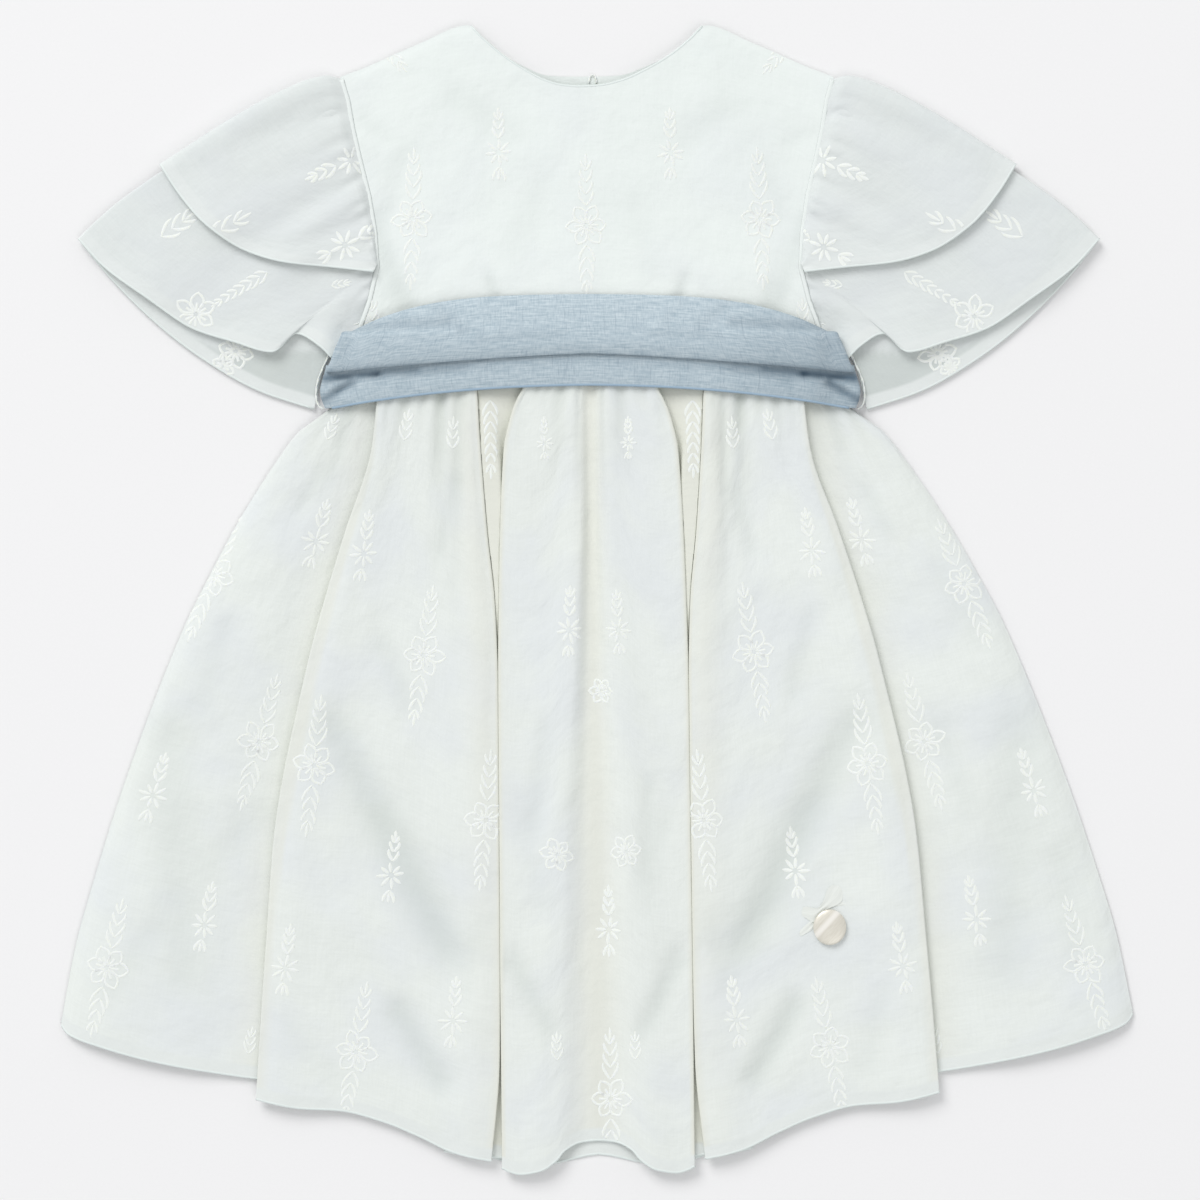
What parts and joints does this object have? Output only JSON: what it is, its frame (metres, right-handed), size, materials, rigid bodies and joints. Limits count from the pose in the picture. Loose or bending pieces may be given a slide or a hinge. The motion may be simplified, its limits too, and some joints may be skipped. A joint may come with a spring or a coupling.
{
  "type": "child's dress",
  "caption": "Small child's short-sleeved dress laid flat, with two-tier flutter sleeves, a gathered and pleated skirt, a folded sash and a small bow charm.",
  "frame": {"origin": "centre of the dress's box, on the flat surface that it lies on", "axes": "+Z out of the front of the dress, +Y towards the neck, +X to the right of someone who looks at the front"},
  "size_m": [0.4934, 0.5282, 0.0122],
  "materials": {
    "lined_voile": "white embroidered cotton voile over a white lining",
    "sheer_voile": "sheer white embroidered cotton voile, one layer",
    "blue_linen": "pale blue slub linen",
    "white_thread": "white cotton thread",
    "ivory_satin": "ivory satin ribbon",
    "pale_metal": "polished pale gold"
  },
  "bodies": {
    "root": {"skirt_front": "lined_voile", "skirt_back": "lined_voile", "bodice_front": "lined_voile", "bodice_back_left": "lined_voile", "bodice_back_right": "lined_voile", "sleeve_upper_left": "sheer_voile", "sleeve_upper_right": "sheer_voile", "sleeve_lower_left": "sheer_voile", "sleeve_lower_right": "sheer_voile", "sash": "blue_linen", "belt_loop_left": "white_thread", "belt_loop_right": "white_thread", "neck_loop": "white_thread", "charm_bow": "ivory_satin", "charm_disc": "pale_metal"}
  },
  "joints": []
}
